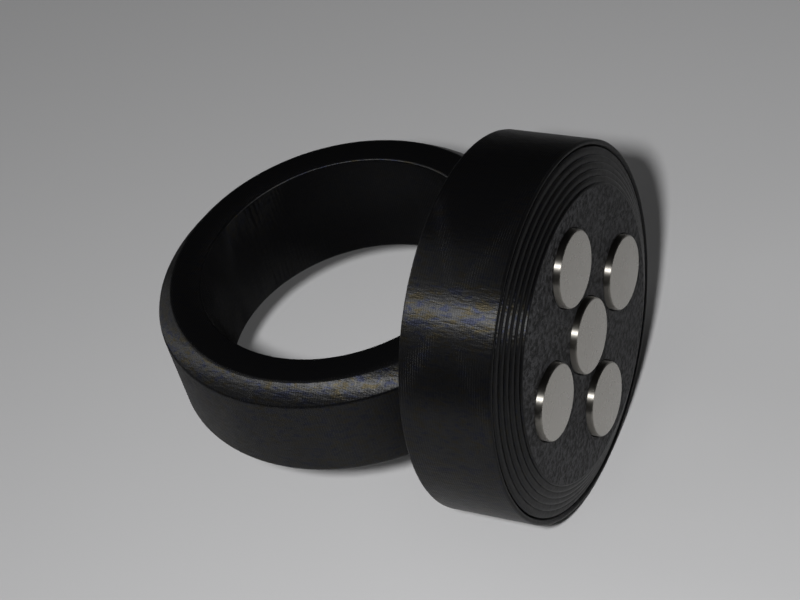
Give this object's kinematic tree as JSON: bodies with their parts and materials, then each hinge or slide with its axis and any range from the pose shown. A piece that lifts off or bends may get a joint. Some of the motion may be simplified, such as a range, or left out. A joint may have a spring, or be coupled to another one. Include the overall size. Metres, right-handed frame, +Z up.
{
  "type": "finger ring clicker",
  "caption": "Printed finger ring with a drum-shaped head. The head's sprung front carries disc magnets and is pressed to make a click.",
  "frame": {"origin": "under the middle of the part's box, on the surface that the head lies on", "axes": "+Z up along the finger hole; -Y out of the face with the magnets; +Y towards the far side of the finger band"},
  "size_m": [0.0254, 0.0302, 0.025],
  "materials": {
    "black_print": "black filament print, fine layer lines, satin",
    "plate_print": "black filament print, grainy from a textured print bed",
    "nickel_plate": "nickel plated, satin",
    "spring_steel": "bright rolled spring steel",
    "brass": "turned",
    "zinc_steel": "zinc plated"
  },
  "bodies": {
    "housing": {"ring_housing": "black_print", "click_dome": "spring_steel", "dome_retainer": "black_print", "return_spring_1": "spring_steel", "return_spring_2": "spring_steel", "return_spring_3": "spring_steel", "return_spring_4": "spring_steel"},
    "cap": {"press_cap": "plate_print", "magnet_centre": "nickel_plate", "magnet_top": "nickel_plate", "magnet_bottom": "nickel_plate", "magnet_left": "nickel_plate", "magnet_right": "nickel_plate", "guide_post_1": "brass", "guide_post_2": "brass", "guide_post_3": "brass", "guide_post_4": "brass", "cap_screw_1": "zinc_steel", "cap_screw_2": "zinc_steel", "cap_screw_3": "zinc_steel", "cap_screw_4": "zinc_steel", "screw_washer_1": "zinc_steel", "screw_washer_2": "zinc_steel", "screw_washer_3": "zinc_steel", "screw_washer_4": "zinc_steel"}
  },
  "joints": [
    {"name": "cap_press", "type": "slide", "parent": "housing", "child": "cap", "axis": [0, 1, 0], "range_m": [0, 0.0007], "stiffness_N_per_m": 4000, "springref_m": -0.0004, "deforming": ["click_dome", "return_spring_1", "return_spring_2", "return_spring_3", "return_spring_4"]}
  ]
}
